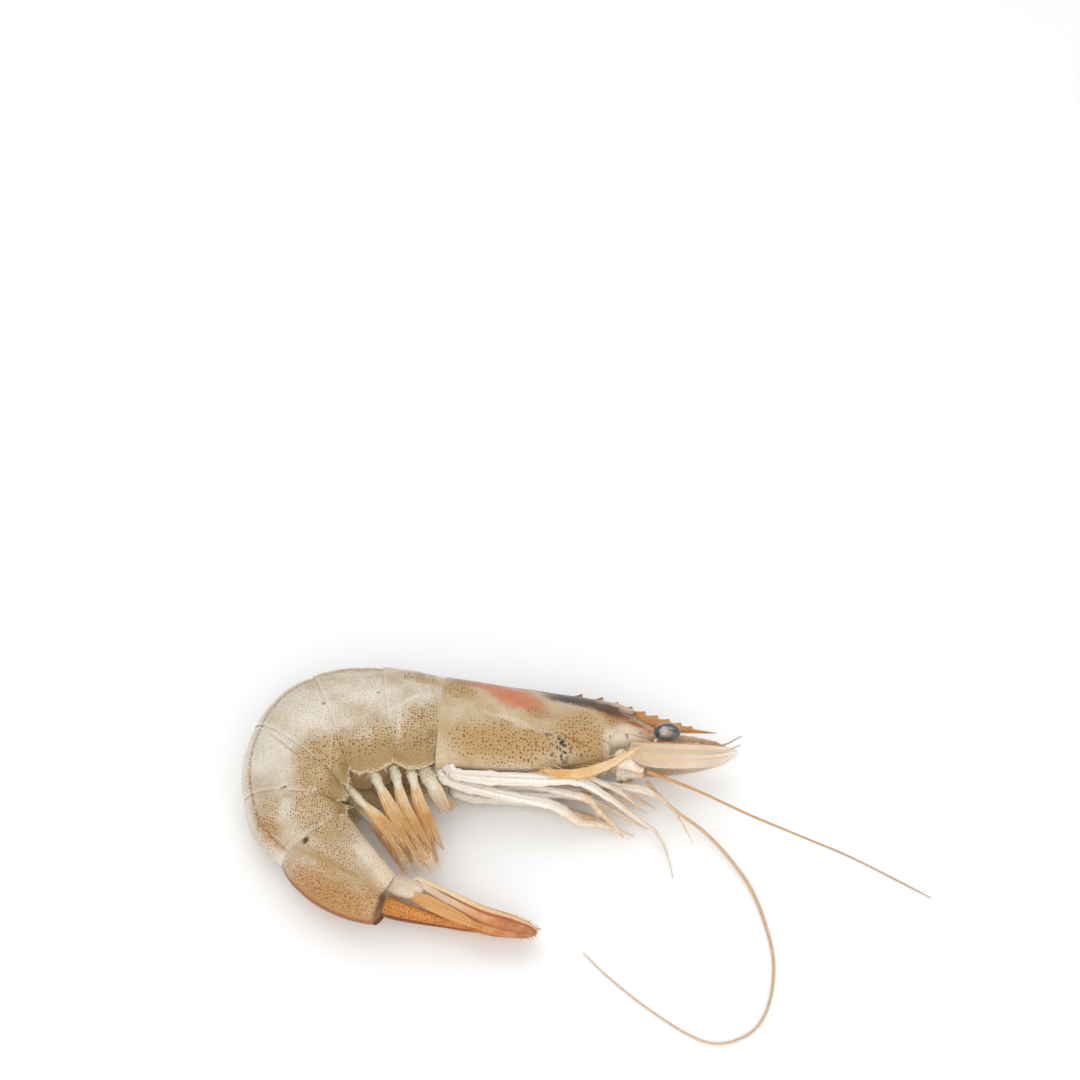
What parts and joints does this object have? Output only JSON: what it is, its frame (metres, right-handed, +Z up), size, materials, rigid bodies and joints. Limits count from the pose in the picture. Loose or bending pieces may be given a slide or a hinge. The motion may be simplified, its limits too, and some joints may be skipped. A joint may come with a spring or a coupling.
{
  "type": "prawn",
  "caption": "Raw whole prawn with head, shell, legs and antennae on, its tail curled under, lying on its left side.",
  "frame": {"origin": "centre of the bounding box on the table the prawn lies on", "axes": "+X towards the head and antennae, +Y towards the back of the head shield, +Z up out of the prawn's right side"},
  "size_m": [0.1458, 0.084, 0.0168],
  "materials": {
    "shell": "thin wet shell over raw flesh, grey beige with fine brown dots",
    "head": "wet olive tan shell with red brown dots",
    "tail_fan": "wet amber to red brown shell",
    "eye": "glossy dark eye with a silver sheen",
    "limb": "wet cream and amber shell",
    "swimmeret": "thin translucent cream blades with amber edges",
    "whisker": "thin tan whip"
  },
  "bodies": {
    "root": {"abdomen_1": "shell", "abdomen_2": "shell", "abdomen_3": "shell", "abdomen_4": "shell", "abdomen_5": "shell", "abdomen_6": "shell", "carapace": "head", "telson": "tail_fan", "tail_stem_right": "tail_fan", "tail_stem_left": "tail_fan", "tail_blade_outer_right": "tail_fan", "tail_blade_outer_left": "tail_fan", "tail_blade_inner_right": "tail_fan", "tail_blade_inner_left": "tail_fan", "eye_right": "eye", "eye_left": "eye", "antennal_scale_right": "limb", "antennal_scale_left": "limb", "antennule_right": "limb", "antennule_left": "limb", "antenna_base_right": "limb", "antenna_base_left": "limb", "maxilliped_right": "limb", "maxilliped_left": "limb", "leg_right_1": "limb", "leg_right_2": "limb", "leg_right_3": "limb", "leg_right_4": "limb", "leg_right_5": "limb", "leg_left_1": "limb", "leg_left_2": "limb", "leg_left_3": "limb", "leg_left_4": "limb", "leg_left_5": "limb", "swimmeret_right_1": "swimmeret", "swimmeret_right_2": "swimmeret", "swimmeret_right_3": "swimmeret", "swimmeret_right_4": "swimmeret", "swimmeret_right_5": "swimmeret", "swimmeret_left_1": "swimmeret", "swimmeret_left_2": "swimmeret", "swimmeret_left_3": "swimmeret", "swimmeret_left_4": "swimmeret", "swimmeret_left_5": "swimmeret", "antenna_whip_right": "whisker", "antenna_whip_left": "whisker"}
  },
  "joints": []
}
